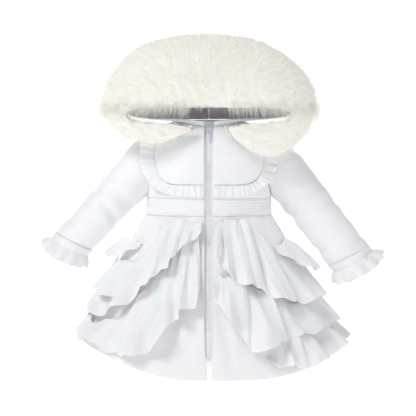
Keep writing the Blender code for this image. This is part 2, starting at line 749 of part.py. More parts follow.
HOOD = table(
    "place neck_angle back_x back_y back_z front_x front_y front_z mouth_x mouth_y mouth_z",
    (0.00, 9, 0.0085, -0.064, -0.0105, 0.0085, -0.065, -0.0080, 0.0090, -0.066, -0.0055),
    (0.16, 32, 0.046, -0.058, -0.0060, 0.056, -0.062, -0.0030, 0.068, -0.064, 0.0000),
    (0.34, 66, 0.085, -0.030, 0.0030, 0.125, -0.040, 0.0020, 0.144, -0.050, 0.0030),
    (0.39, 73, 0.100, -0.008, 0.0080, 0.160, -0.036, 0.0200, 0.151, -0.053, 0.0105),
    (0.44, 80, 0.115, 0.020, 0.0140, 0.190, -0.030, 0.0500, 0.144, -0.056, 0.0180),
    (0.54, 97, 0.150, 0.060, 0.0300, 0.215, -0.036, 0.1250, 0.116, -0.060, 0.0190),
    (0.70, 124, 0.155, 0.130, 0.0300, 0.175, -0.038, 0.2100, 0.072, -0.064, 0.0200),
    (0.86, 152, 0.095, 0.185, 0.0250, 0.090, -0.040, 0.2650, 0.035, -0.066, 0.0205),
    (1.00, 180, 0.000, 0.205, 0.0200, 0.000, -0.040, 0.2850, 0.000, -0.067, 0.0210),
)
HOOD_PLACES = (0, 0.08, 0.16, 0.25, 0.34, 0.39, 0.44, 0.50, 0.56, 0.64, 0.72, 0.79, 0.86, 0.93, 1)
HOOD_SHARES = (0.0, 0.1, 0.24, 0.4, 0.55, 0.7, 0.84, 0.94, 1.0)
HOOD_LIFT = 0.0005
HOOD_WALL = 0.0024


def hood_surface(side):
    """The outer face of one half; place runs from the zip to the middle of the back."""

    def surface(place, share):
        read = {name: smooth(HOOD, name, "place", place) for name in HOOD}
        angle = np.radians(read["neck_angle"])
        start = torso(angle, neckline(angle))
        start[..., 2] += HOOD_LIFT
        t = share[..., None]
        back = stacked(read["back_x"], read["back_y"], read["back_z"])
        front = stacked(read["front_x"], read["front_y"], read["front_z"])
        mouth = stacked(read["mouth_x"], read["mouth_y"], read["mouth_z"])
        curve = (1 - t) ** 3 * start + 3 * t * (1 - t) ** 2 * back
        curve = curve + 3 * t**2 * (1 - t) * front + t**3 * mouth
        return curve * (side, 1, 1)

    return surface


def make_hood_half(name, side):
    places = np.array(HOOD_PLACES)[None, :]
    shares = np.array(HOOD_SHARES)[:, None]
    place, share = places + 0 * shares, shares + 0 * places
    outer = hood_surface(side)(place, share)
    outer[:, -1, 0] = side * SEAM_GAP / 2
    normal = grid_normals(outer) * side
    normal[:, -1, 0] = 0
    normal /= np.linalg.norm(normal, axis=-1, keepdims=True)
    inner = outer - normal * HOOD_WALL
    return wall(name, outer, inner, WHITE_SATIN)


# The fur edging: one long-pile strip sewn all round the hood's mouth. Its upper run stands up like a crest
# and its two ends lie over the shoulders and the bib. Each row is a section across the strip.

FUR = "place inner_x inner_z outer_x outer_z half_depth inner_y outer_y"
FUR_LEFT = table(
    FUR,
    (0.00, 0.000, 0.0120, 0.000, 0.1670, 0.028, -0.090, -0.040),
    (0.14, 0.040, 0.0120, 0.061, 0.1610, 0.029, -0.090, -0.040),
    (0.26, 0.075, 0.0115, 0.109, 0.1490, 0.030, -0.089, -0.038),
    (0.38, 0.104, 0.0110, 0.151, 0.1230, 0.030, -0.088, -0.036),
    (0.48, 0.124, 0.0100, 0.187, 0.0900, 0.030, -0.086, -0.035),
    (0.57, 0.137, 0.0090, 0.207, 0.0480, 0.029, -0.084, -0.036),
    (0.64, 0.143, 0.0070, 0.207, 0.0120, 0.028, -0.082, -0.042),
    (0.71, 0.140, 0.0045, 0.190, -0.0250, 0.031, -0.081, -0.055),
    (0.78, 0.124, 0.0020, 0.160, -0.0570, 0.028, -0.084, -0.070),
    (0.85, 0.098, 0.0000, 0.119, -0.0830, 0.025, -0.088, -0.084),
    (0.91, 0.068, -0.0020, 0.083, -0.0740, 0.021, -0.092, -0.094),
    (0.96, 0.042, -0.0060, 0.052, -0.0540, 0.016, -0.092, -0.098),
    (1.00, 0.022, -0.0110, 0.030, -0.0330, 0.010, -0.090, -0.094),
)
FUR_RIGHT = table(
    FUR,
    (0.00, 0.000, 0.0120, 0.000, 0.1670, 0.028, -0.090, -0.040),
    (0.14, 0.040, 0.0120, 0.066, 0.1620, 0.029, -0.090, -0.040),
    (0.26, 0.075, 0.0115, 0.123, 0.1480, 0.030, -0.089, -0.038),
    (0.38, 0.104, 0.0110, 0.164, 0.1180, 0.030, -0.088, -0.036),
    (0.48, 0.124, 0.0100, 0.193, 0.0800, 0.030, -0.086, -0.035),
    (0.57, 0.137, 0.0090, 0.210, 0.0380, 0.029, -0.084, -0.036),
    (0.64, 0.143, 0.0070, 0.205, 0.0070, 0.028, -0.082, -0.042),
    (0.71, 0.140, 0.0045, 0.184, -0.0190, 0.031, -0.081, -0.055),
    (0.78, 0.124, 0.0020, 0.155, -0.0420, 0.028, -0.084, -0.068),
    (0.85, 0.098, 0.0000, 0.112, -0.0540, 0.024, -0.088, -0.080),
    (0.91, 0.068, -0.0020, 0.080, -0.0520, 0.020, -0.092, -0.090),
    (0.96, 0.042, -0.0060, 0.048, -0.0400, 0.015, -0.092, -0.094),
    (1.00, 0.022, -0.0110, 0.026, -0.0260, 0.009, -0.090, -0.092),
)
FUR_CLEARANCE = 0.0037
FUR_SECTIONS = 18
FUR_ROUND = 14


def fur_ring(rows, side, place):
    """One section across the fur, as a closed ring of points."""
    read = {name: float(smooth(rows, name, "place", place)) for name in rows}
    turn = np.linspace(0, 4 * QUARTER, FUR_ROUND, endpoint=False)
    share = 0.5 - 0.5 * np.cos(turn)
    x = read["inner_x"] + (read["outer_x"] - read["inner_x"]) * share
    z = read["inner_z"] + (read["outer_z"] - read["inner_z"]) * share
    middle = read["inner_y"] + (read["outer_y"] - read["inner_y"]) * share
    y = middle - read["half_depth"] * np.sin(turn)
    return stacked(side * x, y, z)


def make_fur(tree):
    places = np.linspace(1, 0, FUR_SECTIONS)
    left = [fur_ring(FUR_LEFT, 1, p) for p in places]
    right = [fur_ring(FUR_RIGHT, -1, p) for p in places[::-1][1:]]
    rings = kept_in_front(np.array(left + right), tree, FUR_CLEARANCE, spread=0.006)
    return loft("hood_fur", rings, CREAM_FUR)


# The zip: two tapes behind the front edges, a closed chain between them, a slider near the top with a pull
# tab that swings on it, and a stop at the lower end.

CHAIN_WIDTH = 0.0050
CHAIN_THICK = 0.0020
TAPE_WIDTH = 0.0105
TAPE_THICK = 0.0010
SLIDER_HEIGHT = -0.0235
SLIDER_SIZE = (0.0078, 0.0016, 0.0100)
SLIDER_LEAN = 0.0002
BAIL_RADIUS = 0.0028
BAIL_WIRE = 0.0007
PIVOT_OUT = 0.0015
PULL_ARM = 0.0060
PULL_LENGTH = 0.0130
PULL_WIDTH = 0.0060
PULL_THICK = 0.0011
PULL_WIRE = 0.0005


def front_surface(x, height):
    """A point of the coat's outer face near the middle of the front."""
    drop = np.clip((WAIST - height) / (WAIST - HEM_FRONT), 0, 1)
    depth = np.where(height > WAIST, smooth(TORSO, "front_depth", "height", height),
                     smooth(SKIRT, "front_depth", "drop", drop))
    width = np.where(height > WAIST, smooth(TORSO, "half_width", "height", height),
                     smooth(SKIRT, "half_width", "drop", drop))
    share = (np.abs(x) / width) ** BODY_POWER
    return stacked(x, -depth * (1 - share) ** (1 / BODY_POWER), height)


def strip(name, places, heights, out, thick, finish):
    """An upright strip through level places that follows the front of the coat."""
    x = np.array(places)[None, :]
    height = np.array(heights)[:, None]
    x, height = x + 0 * height, height + 0 * x
    front = moved_out(front_surface, x, height, out)
    back = moved_out(front_surface, x, height, out - thick)
    return wall(name, front, back, finish)


def make_zip_strips():
    upper = BAND_TOP + np.array(BODICE_ROWS) * (ZIP_TOP - BAND_TOP)
    heights = np.concatenate([np.linspace(ZIP_BOTTOM, WAIST, 6), upper])
    tape_out = -WALL - 2 * SEAM_GAP
    inner_x = CHAIN_WIDTH / 2 + SEAM_GAP
    for side, word in ((1, "left"), (-1, "right")):
        places = (side * inner_x, side * (inner_x + TAPE_WIDTH / 2), side * (inner_x + TAPE_WIDTH))
        strip("zip_tape_" + word, places, heights, tape_out, TAPE_THICK, ZIP_TAPE)
    chain_out = tape_out - TAPE_THICK / 2 + CHAIN_THICK / 2
    half = CHAIN_WIDTH / 2
    strip("zip_chain", (-half, half), heights, chain_out, CHAIN_THICK, ZIP_NYLON)
    return chain_out


def box(name, size, middle, finish, bevel=0.0004):
    bpy.ops.mesh.primitive_cube_add(size=1)
    made = bpy.context.object
    made.name = made.data.name = name
    made.data.transform(Matrix.Diagonal((*size, 1)))
    made.location = middle
    for collection in made.users_collection:
        collection.objects.unlink(made)
    parts.objects.link(made)
    made.data.materials.append(material(finish))
    if bevel:
        soft = made.modifiers.new("soft_edges", "BEVEL")
        soft.width = bevel
        soft.segments = 1
    return made


def join(target, piece):
    """Unites a piece with a target and hides the piece with the cutters."""
    piece.hide_render = True
    piece.display_type = "WIRE"
    for collection in piece.users_collection:
        collection.objects.unlink(piece)
    cutters.objects.link(piece)
    step = target.modifiers.new("join_" + piece.name, "BOOLEAN")
    step.operation = "UNION"
    step.object = piece


def wire(name, points, radius, finish):
    """A round wire along straight runs between points."""
    curve = bpy.data.curves.new(name, "CURVE")
    curve.dimensions = "3D"
    curve.bevel_depth = radius
    curve.bevel_resolution = 1
    curve.use_fill_caps = True
    run = curve.splines.new("POLY")
    run.points.add(len(points) - 1)
    for point, place in zip(run.points, points):
        point.co = (*place, 1)
    made = bpy.data.objects.new(name + "_curve", curve)
    parts.objects.link(made)
    graph = bpy.context.evaluated_depsgraph_get()
    mesh = bpy.data.meshes.new_from_object(made.evaluated_get(graph))
    bpy.data.objects.remove(made)
    shape = bmesh.new()
    shape.from_mesh(mesh)
    bmesh.ops.remove_doubles(shape, verts=shape.verts, dist=1e-6)
    bmesh.ops.recalc_face_normals(shape, faces=shape.faces)
    shape.to_mesh(mesh)
    shape.free()
    mesh.materials.clear()
    mesh.materials.append(material(finish))
    solid = bpy.data.objects.new(name, mesh)
    parts.objects.link(solid)
    return solid


def at_front(item, height, out):
    """Stands an object on the middle of the front at a height and leans it with the cloth."""
    low = front_surface(np.array(0.0), np.array(height - 0.004))
    high = front_surface(np.array(0.0), np.array(height + 0.004))
    lean = math.atan2(high[1] - low[1], high[2] - low[2])
    spot = (low + high) / 2 + out * np.array([0, -math.cos(lean), math.sin(lean)])
    item.rotation_euler = (-lean, 0, 0)
    item.location = spot


def make_slider(chain_out):
    """The slider's plate with its bail, and the pull tab whose pin runs through the bail."""
    slider = box("zip_slider", SLIDER_SIZE, (0, 0, 0), PAINTED_ZINC)
    face = SLIDER_SIZE[1] / 2
    turns = np.linspace(-QUARTER, QUARTER, 9)
    reach = BAIL_RADIUS + 0.0006
    arch = [(0, 0.0006 - face - reach * math.cos(t), BAIL_RADIUS * math.sin(t)) for t in turns]
    bail = wire("slider_bail", arch, BAIL_WIRE, PAINTED_ZINC)
    join(slider, bail)
    plate_out = chain_out + SEAM_GAP + SLIDER_LEAN + face
    for item in (slider, bail):
        at_front(item, SLIDER_HEIGHT, plate_out)
    middle = -PULL_ARM - PULL_LENGTH / 2 + 0.001
    pull = box("zip_pull", (PULL_WIDTH, PULL_THICK, PULL_LENGTH), (0, 0, 0), PAINTED_ZINC, 0.0003)
    pull.data.transform(Matrix.Translation((0, 0, middle)))
    half = PULL_WIDTH / 2 - PULL_WIRE
    ring = [(-half, 0, -PULL_ARM), (-half, 0, 0), (half, 0, 0), (half, 0, -PULL_ARM)]
    loop = wire("pull_loop", ring, PULL_WIRE, PAINTED_ZINC)
    join(pull, loop)
    for item in (pull, loop):
        at_front(item, SLIDER_HEIGHT, plate_out + face + PIVOT_OUT)


def make_zip_stop(chain_out):
    stop = box("zip_stop", (0.0070, 0.0020, 0.0040), (0, 0, 0), PAINTED_ZINC)
    at_front(stop, ZIP_BOTTOM - 0.0026, chain_out - 0.0010)


def build():
    for item in list(bpy.data.objects):
        bpy.data.objects.remove(item)
    for collection in (parts, cutters):
        bpy.context.scene.collection.children.link(collection)
    left, right, back = make_bodice()
    make_waistband()
    cut_armholes((left, right), back)
    cutter = torso_cutter()
    sleeve_left = make_sleeve("sleeve_left", SLEEVE_LEFT, 1, cutter)
    sleeve_right = make_sleeve("sleeve_right", SLEEVE_RIGHT, -1, cutter)
    make_cuff("cuff_left", SLEEVE_LEFT, 1)
    make_cuff("cuff_right", SLEEVE_RIGHT, -1)
    make_skirt()
    for name, (side, waves, spring, rows) in FLOUNCES.items():
        make_flounce(name, side, waves, spring, rows)
    bibs = [make_bib("bib_left", 1), make_bib("bib_right", -1)]
    bpy.context.view_layer.update()
    under_frill = surface_tree(left, right, sleeve_left, sleeve_right)
    frills = [
        make_bib_frill("bib_frill_left", 1, under_frill),
        make_bib_frill("bib_frill_right", -1, under_frill),
    ]
    hood = [make_hood_half("hood_left", 1), make_hood_half("hood_right", -1)]
    bpy.context.view_layer.update()
    make_fur(surface_tree(left, right, sleeve_left, sleeve_right, *bibs, *frills, *hood))
    chain_out = make_zip_strips()
    make_slider(chain_out)
    make_zip_stop(chain_out)


build()
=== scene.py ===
"""The looks of a toddler's white padded coat: fur-edged hood, frilled bib, cascading flounces and a zip.

Lengths are in metres, +Z is up, the coat faces -Y and +X is the wearer's left.
"""

import math

import bmesh
import bpy
import numpy as np
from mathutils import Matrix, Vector, noise


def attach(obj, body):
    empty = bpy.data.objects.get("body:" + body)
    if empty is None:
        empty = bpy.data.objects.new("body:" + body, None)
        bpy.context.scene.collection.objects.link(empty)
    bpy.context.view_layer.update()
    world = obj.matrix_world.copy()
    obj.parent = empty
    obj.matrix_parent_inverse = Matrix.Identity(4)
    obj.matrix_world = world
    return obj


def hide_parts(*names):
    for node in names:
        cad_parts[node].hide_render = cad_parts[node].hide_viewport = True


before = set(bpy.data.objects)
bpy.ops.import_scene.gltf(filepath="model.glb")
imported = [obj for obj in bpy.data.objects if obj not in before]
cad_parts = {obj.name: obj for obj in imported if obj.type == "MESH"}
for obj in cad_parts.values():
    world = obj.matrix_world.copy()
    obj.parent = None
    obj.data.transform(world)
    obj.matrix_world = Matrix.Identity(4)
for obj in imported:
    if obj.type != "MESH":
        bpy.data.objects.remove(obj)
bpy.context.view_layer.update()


# The room: a white floor that turns up into a backdrop, far enough below that the coat hangs as it is worn.
# The main light is a window high at the picture's front left, with weak ones at the right and behind.
# The sky is dim as a light and white where the camera sees it, past the edges of the backdrop.

FLOOR_HEIGHT = -0.95
CAMERA_TARGET = Vector((-0.002, 0.0, -0.168))
CAMERA_DISTANCE = 2.4
CAMERA_ELEVATION = math.radians(3)
CAMERA_WIDTH = 416 * 0.0019
FLOOR_HALF_WIDTH = 10.0
FLOOR_FRONT = -9.0
FLOOR_BACK = 7.0
TURN_UP = 2.0
WALL_HEIGHT = 9.0
SKY_LIGHT = 0.43
SKY_SEEN = 1.05


def linear(code):
    """An sRGB hex colour as linear red, green, blue and alpha."""
    shares = [int(code[i:i + 2], 16) / 255 for i in (1, 3, 5)]
    return (*[c / 12.92 if c <= 0.04045 else ((c + 0.055) / 1.055) ** 2.4 for c in shares], 1)


def add(tree, kind, inputs=None, **settings):
    """Adds a node to a tree with its settings. An input is a value, or another node's socket to link."""
    made = tree.nodes.new(kind)
    for name, value in settings.items():
        setattr(made, name, value)
    for name, value in (inputs or {}).items():
        if isinstance(value, bpy.types.NodeSocket):
            tree.links.new(value, made.inputs[name])
        else:
            made.inputs[name].default_value = value
    return made


def new_material(name, code, roughness, **more):
    """A material with its shader's plain values set, and the tree and shader to add to."""
    made = bpy.data.materials.new(name)
    made.use_nodes = True
    shader = made.node_tree.nodes["Principled BSDF"]
    shader.inputs["Base Color"].default_value = linear(code)
    shader.inputs["Roughness"].default_value = roughness
    for key, value in more.items():
        shader.inputs[key.replace("_", " ")].default_value = value
    return made, made.node_tree, shader


def make_room():
    paper, _, shader = new_material("backdrop_paper", "#FBFBFC", 0.9, Emission_Strength=0.55)
    shader.inputs["Emission Color"].default_value = linear("#FDFDFE")
    depth = [(FLOOR_FRONT, 0.0), (FLOOR_BACK, 0.0)]
    depth += [
        (FLOOR_BACK + TURN_UP * math.sin(t), TURN_UP - TURN_UP * math.cos(t)) for t in np.linspace(0.2, 1.57, 8)
    ]
    depth += [(FLOOR_BACK + TURN_UP, WALL_HEIGHT)]
    points = [(x, y, FLOOR_HEIGHT + z) for y, z in depth for x in (-FLOOR_HALF_WIDTH, FLOOR_HALF_WIDTH)]
    faces = [(2 * i, 2 * i + 1, 2 * i + 3, 2 * i + 2) for i in range(len(depth) - 1)]
    mesh = bpy.data.meshes.new("backdrop")
    mesh.from_pydata(points, [], faces)
    mesh.shade_smooth()
    mesh.materials.append(paper)
    backdrop = bpy.data.objects.new("backdrop", mesh)
    bpy.context.scene.collection.objects.link(backdrop)
    world = bpy.data.worlds.new("studio")
    world.use_nodes = True
    sky = world.node_tree.nodes["Background"]
    sky.inputs["Color"].default_value = linear("#FAFAFB")
    seen = add(world.node_tree, "ShaderNodeLightPath").outputs["Is Camera Ray"]
    strength = add(world.node_tree, "ShaderNodeMix", {"Factor": seen, 2: SKY_LIGHT, 3: SKY_SEEN}, data_type="FLOAT")
    world.node_tree.links.new(strength.outputs[0], sky.inputs["Strength"])
    bpy.context.scene.world = world
    windows = (
        ("window_front", (-1.5, -1.7, 2.0), 1.0, 40),
        ("window_right", (2.4, -1.0, 0.6), 1.4, 6),
        ("window_back", (-0.6, 2.2, 1.6), 1.2, 6),
    )
    for name, place, size, power in windows:
        light = bpy.data.lights.new(name, "AREA")
        light.size = size
        light.energy = power
        lamp = bpy.data.objects.new(name, light)
        lamp.location = place
        lamp.visible_camera = False
        lamp.rotation_euler = (CAMERA_TARGET - Vector(place)).to_track_quat("-Z", "Y").to_euler()
        bpy.context.scene.collection.objects.link(lamp)
    camera = bpy.data.objects.new("camera", bpy.data.cameras.new("camera"))
    camera.data.angle = 2 * math.atan(CAMERA_WIDTH / 2 / CAMERA_DISTANCE)
    back = Vector((0, -math.cos(CAMERA_ELEVATION), math.sin(CAMERA_ELEVATION)))
    camera.location = CAMERA_TARGET + CAMERA_DISTANCE * back
    camera.rotation_euler = (-back).to_track_quat("-Z", "Y").to_euler()
    bpy.context.scene.collection.objects.link(camera)
    bpy.context.scene.camera = camera
    bpy.context.scene.view_settings.view_transform = "Standard"


make_room()


# The bodice: two padded satin fronts and a back, joined at the shoulders and sides and cut out at the armholes.
# The satin is polyester, woven smooth, with thin padding and a lining behind it in one wall.

THREAD = 0.0007
WEAVE_SCALE = 0.314 / THREAD / 2
RIM_ANGLE = 68
RIM_SHARPNESS = 0.85


def satin_material():
    """Polyester satin: bluish white, a soft broad gloss, its weave drawn coarser than the real 0.1 mm."""
    made, tree, shader = new_material(
        "white_polyester_satin", "#F3F4F7", 0.46, Sheen_Weight=0.25, Sheen_Roughness=0.45,
        Specular_IOR_Level=0.42, Subsurface_Weight=0.12, Subsurface_Scale=0.004,
    )
    place = add(tree, "ShaderNodeTexCoord").outputs["Object"]
    patches = add(tree, "ShaderNodeTexNoise", {"Vector": place, "Scale": 14, "Detail": 3})
    tint = add(tree, "ShaderNodeMix", {
        "Factor": patches.outputs["Fac"], "A": linear("#EFF0F4"), "B": linear("#F8F8FA"),
    }, data_type="RGBA")
    tree.links.new(tint.outputs["Result"], shader.inputs["Base Color"])
    threads = add(tree, "ShaderNodeTexWave", {
        "Vector": place, "Scale": WEAVE_SCALE, "Distortion": 0.6, "Detail": 1,
    }, bands_direction="DIAGONAL")
    grain = add(tree, "ShaderNodeTexNoise", {"Vector": place, "Scale": 260, "Detail": 4})
    mix = add(tree, "ShaderNodeMath", {0: threads.outputs["Fac"], 1: grain.outputs["Fac"]}, operation="ADD")
    bump = add(tree, "ShaderNodeBump", {"Height": mix.outputs[0], "Strength": 0.12, "Distance": 0.0004})
    tree.links.new(bump.outputs["Normal"], shader.inputs["Normal"])
    return made


SATIN = satin_material()


def quads_of(node):
    """A node's wall as quads, with its rims marked to stay crisp."""
    shape = bmesh.new()
    shape.from_mesh(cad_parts[node].data)
    bmesh.ops.remove_doubles(shape, verts=shape.verts, dist=1e-5)
    bmesh.ops.join_triangles(
        shape, faces=shape.faces, angle_face_threshold=math.pi, angle_shape_threshold=math.pi
    )
    crease = shape.edges.layers.float.new("crease_edge")
    for edge in shape.edges:
        if len(edge.link_faces) == 2 and edge.calc_face_angle() > math.radians(RIM_ANGLE):
            edge[crease] = RIM_SHARPNESS
    return shape


def to_object(name, shape, material):
    """A bmesh as an object in the scene, shaded smooth."""
    mesh = bpy.data.meshes.new(name)
    shape.to_mesh(mesh)
    shape.free()
    mesh.shade_smooth()
    mesh.materials.append(material)
    made = bpy.data.objects.new(name, mesh)
    bpy.context.scene.collection.objects.link(made)
    return made


def baked(piece):
    """Replaces a piece's mesh by the result of its modifiers, and removes them."""
    graph = bpy.context.evaluated_depsgraph_get()
    mesh = bpy.data.meshes.new_from_object(piece.evaluated_get(graph))
    piece.modifiers.clear()
    piece.data = mesh
    return piece


def smoothed(piece, levels):
    """Rounds a piece's facets off by subdivision. Its marked rims stay."""
    step = piece.modifiers.new("smooth", "SUBSURF")
    step.levels = step.render_levels = levels
    return baked(piece)


def points_of(piece):
    """A piece's points, as an array."""
    points = np.empty(len(piece.data.vertices) * 3)
    piece.data.vertices.foreach_get("co", points)
    return points.reshape(-1, 3)


def moved(piece, points):
    piece.data.vertices.foreach_set("co", np.asarray(points, np.float32).ravel())
    piece.data.update()


def waves(points, size, stretch=(1, 1, 1), seed=0.0):
    """Smooth noise between about -1 and 1 at each point, with lumps of a size, stretched along the axes."""
    scaled = points / size / np.array(stretch) + seed
    return np.array([noise.noise(Vector(p)) for p in scaled])


def table(names, *rows):
    """Rows of numbers under named columns."""
    return [dict(zip(names.split(), row)) for row in rows]


def creases(points, rows, front=True):
    """How far each point sinks into soft creases that run from one place to another of the front view."""
    total = np.zeros(len(points))
    facing = np.clip(-outward_of(points)[:, 1] * (1 if front else -1) * 3, 0, 1)
    for row in rows:
        start = np.array((row["x0"], row["z0"]))
        run = np.array((row["x1"], row["z1"])) - start
        at = points[:, (0, 2)] - start
        share = np.clip(at @ run / (run @ run), -0.2, 1.2)
        off = np.linalg.norm(at - share[:, None] * run, axis=1) / row["width"]
        along = np.clip(1 - np.abs(2 * share - 1) ** 3, 0, 1)
        total += row["depth"] * along * (np.exp(-off**2) - 0.45 * np.exp(-((off - 1.7) ** 2)))
    return total * facing


def outward_of(points):
    """Level directions out of the body at some points, squashed as the body is."""
    flat = points * (1, 1.6, 0)
    return flat / np.maximum(np.linalg.norm(flat, axis=1, keepdims=True), 1e-6)


def finished(piece, node):
    """Puts a piece in the place of its node."""
    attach(piece, "coat")
    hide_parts(node)


CREASE = "x0 z0 x1 z1 width depth"
BODICE_CREASES = table(
    CREASE,
    (0.112, -0.100, 0.086, -0.128, 0.006, 0.0016),
    (0.114, -0.118, 0.080, -0.140, 0.005, 0.0012),
    (-0.112, -0.098, -0.088, -0.124, 0.006, 0.0015),
    (-0.114, -0.116, -0.078, -0.138, 0.005, 0.0013),
    (-0.100, -0.070, -0.085, -0.115, 0.007, 0.0014),
)


def make_bodice():
    for node in ("bodice_front_left", "bodice_front_right", "bodice_back"):
        piece = smoothed(to_object(node + "_padded", quads_of(node), SATIN), 2)
        points = points_of(piece)
        sink = creases(points, BODICE_CREASES, front="front" in node)
        swell = 0.0007 * waves(points, 0.03, seed=3.1)
        moved(piece, points + outward_of(points) * (swell - sink)[:, None])
        finished(piece, node)


make_bodice()


# The waistband: a shaped band in three pieces that joins the bodice to the skirt.
# It is the same satin, drawn in by level rows of elastic stitching that pucker it.

STITCH_LENGTH = 0.0026
STITCH_WIDTH = 0.0005
STITCH_PITCH = 0.0034


def run_along(piece, height, count):
    """Points round a piece's outer face at a height, from one end to the other."""
    points = points_of(piece)
    near = points[np.abs(points[:, 2] - height) < 0.0022]
    angles = np.arctan2(near[:, 0], -near[:, 1])
    angles = np.where((angles < 0) & (near[:, 1].mean() > 0), angles + 2 * math.pi, angles)
    order = np.argsort(angles)
    steps = np.linspace(angles.min() + 0.01, angles.max() - 0.01, count)
    reach = np.interp(steps, angles[order], np.hypot(near[order, 0], near[order, 1]))
    return np.stack([reach * np.sin(steps), -reach * np.cos(steps), np.full(count, height)], 1)


def repeat_tree(name, material):
    """Geometry Nodes that lay one small shape again and again along the edges of a mesh of lines."""
    tree = bpy.data.node_groups.new(name, "GeometryNodeTree")
    for socket, kind in (("Lines", "Geometry"), ("Shape", "Object"), ("Pitch", "Float")):
        tree.interface.new_socket(socket, in_out="INPUT", socket_type="NodeSocket" + kind)
    tree.interface.new_socket("Pieces", in_out="OUTPUT", socket_type="NodeSocketGeometry")
    given = add(tree, "NodeGroupInput").outputs
    lines = add(tree, "GeometryNodeMeshToCurve", {"Mesh": given["Lines"]})
    spaced = add(tree, "GeometryNodeResampleCurve", {
        "Curve": lines.outputs[0], "Length": given["Pitch"],
    }, mode="LENGTH")
    shape = add(tree, "GeometryNodeObjectInfo", {"Object": given["Shape"]})
    tangent = add(tree, "GeometryNodeInputTangent")
    outward = add(tree, "GeometryNodeInputNamedAttribute", {"Name": "outward"}, data_type="FLOAT_VECTOR")
    turn = add(tree, "FunctionNodeAxesToRotation", {
        "Primary Axis": tangent.outputs[0], "Secondary Axis": outward.outputs["Attribute"],
    }, primary_axis="X", secondary_axis="Z")
    placed = add(tree, "GeometryNodeInstanceOnPoints", {
        "Points": spaced.outputs[0], "Instance": shape.outputs["Geometry"], "Rotation": turn.outputs[0],
    })
    real = add(tree, "GeometryNodeRealizeInstances", {"Geometry": placed.outputs[0]})
    painted = add(tree, "GeometryNodeSetMaterial", {"Geometry": real.outputs[0], "Material": material})
    add(tree, "NodeGroupOutput", {"Pieces": painted.outputs[0]})
    return tree


def repeated(name, tree, lines, shape, pitch):
    """A mesh of one shape repeated along lines. Each line is its points and their outward directions."""
    points = np.concatenate([line[0] for line in lines])
    outward = np.concatenate([line[1] for line in lines])
    edges = []
    start = 0
    for line in lines:
        edges += [(start + i, start + i + 1) for i in range(len(line[0]) - 1)]
        start += len(line[0])
    mesh = bpy.data.meshes.new(name)
    mesh.from_pydata(points.tolist(), edges, [])
    mesh.attributes.new("outward", "FLOAT_VECTOR", "POINT").data.foreach_set("vector", outward.ravel())
    piece = bpy.data.objects.new(name, mesh)
    bpy.context.scene.collection.objects.link(piece)
    step = piece.modifiers.new("repeat", "NODES")
    step.node_group = tree
    sockets = {item.name: item.identifier for item in tree.interface.items_tree}
    step[sockets["Shape"]] = shape
    step[sockets["Pitch"]] = pitch
    baked(piece)
    piece.data.shade_smooth()
    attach(piece, "coat")
    return piece


def bar(name, length, width, height):
    """A small rounded bar that lies along X, to be repeated. It isn't shown itself."""
    shape = bmesh.new()
    bmesh.ops.create_uvsphere(shape, u_segments=6, v_segments=5, radius=0.5)
    for point in shape.verts:
        x, y, z = point.co
        point.co = (z * length, x * width, y * height)
    bmesh.ops.recalc_face_normals(shape, faces=shape.faces)
    mesh = bpy.data.meshes.new(name)
    shape.to_mesh(mesh)
    shape.free()
    return bpy.data.objects.new(name, mesh)


def thread_material():
    """Spun polyester sewing thread: white and matt, so that a stitch shows by its shadow."""
    made, _, _ = new_material("white_sewing_thread", "#F1F2F6", 0.62)
    return made


STITCHES = repeat_tree("stitches", thread_material())
STITCH = bar("stitch", STITCH_LENGTH, STITCH_WIDTH, STITCH_WIDTH)
BAND_LOW = -0.179
BAND_HIGH = -0.147
BAND_STITCHED = (0.07, 0.24, 0.42, 0.58, 0.76, 0.93)


def make_waistband():
    lines = []
    rows = [BAND_LOW + share * (BAND_HIGH - BAND_LOW) for share in BAND_STITCHED]
    for node in ("waistband_front_left", "waistband_front_right", "waistband_back"):
        piece = smoothed(to_object(node + "_shirred", quads_of(node), SATIN), 2)
        points = points_of(piece)
        trough = sum(np.exp(-(((points[:, 2] - row) / 0.0011) ** 2)) for row in rows)
        pucker = waves(points, 0.005, stretch=(1, 1, 2.2), seed=1.7)
        rise = -0.0012 * trough + 0.0012 * pucker * (1 - 0.5 * trough)
        moved(piece, points + outward_of(points) * rise[:, None])
        for row in rows:
            line = run_along(piece, row, 90)
            lines.append((line, outward_of(line)))
        finished(piece, node)
    stitches = repeated("waistband_stitches", STITCHES, lines, STITCH, STITCH_PITCH)


make_waistband()


# The skirt: two fronts and a back in thin crisp taffeta, gathered into the waistband and flared to the hem.
# The folds start as gathers at the waist and widen downwards. The hem is shown as a plain rim.


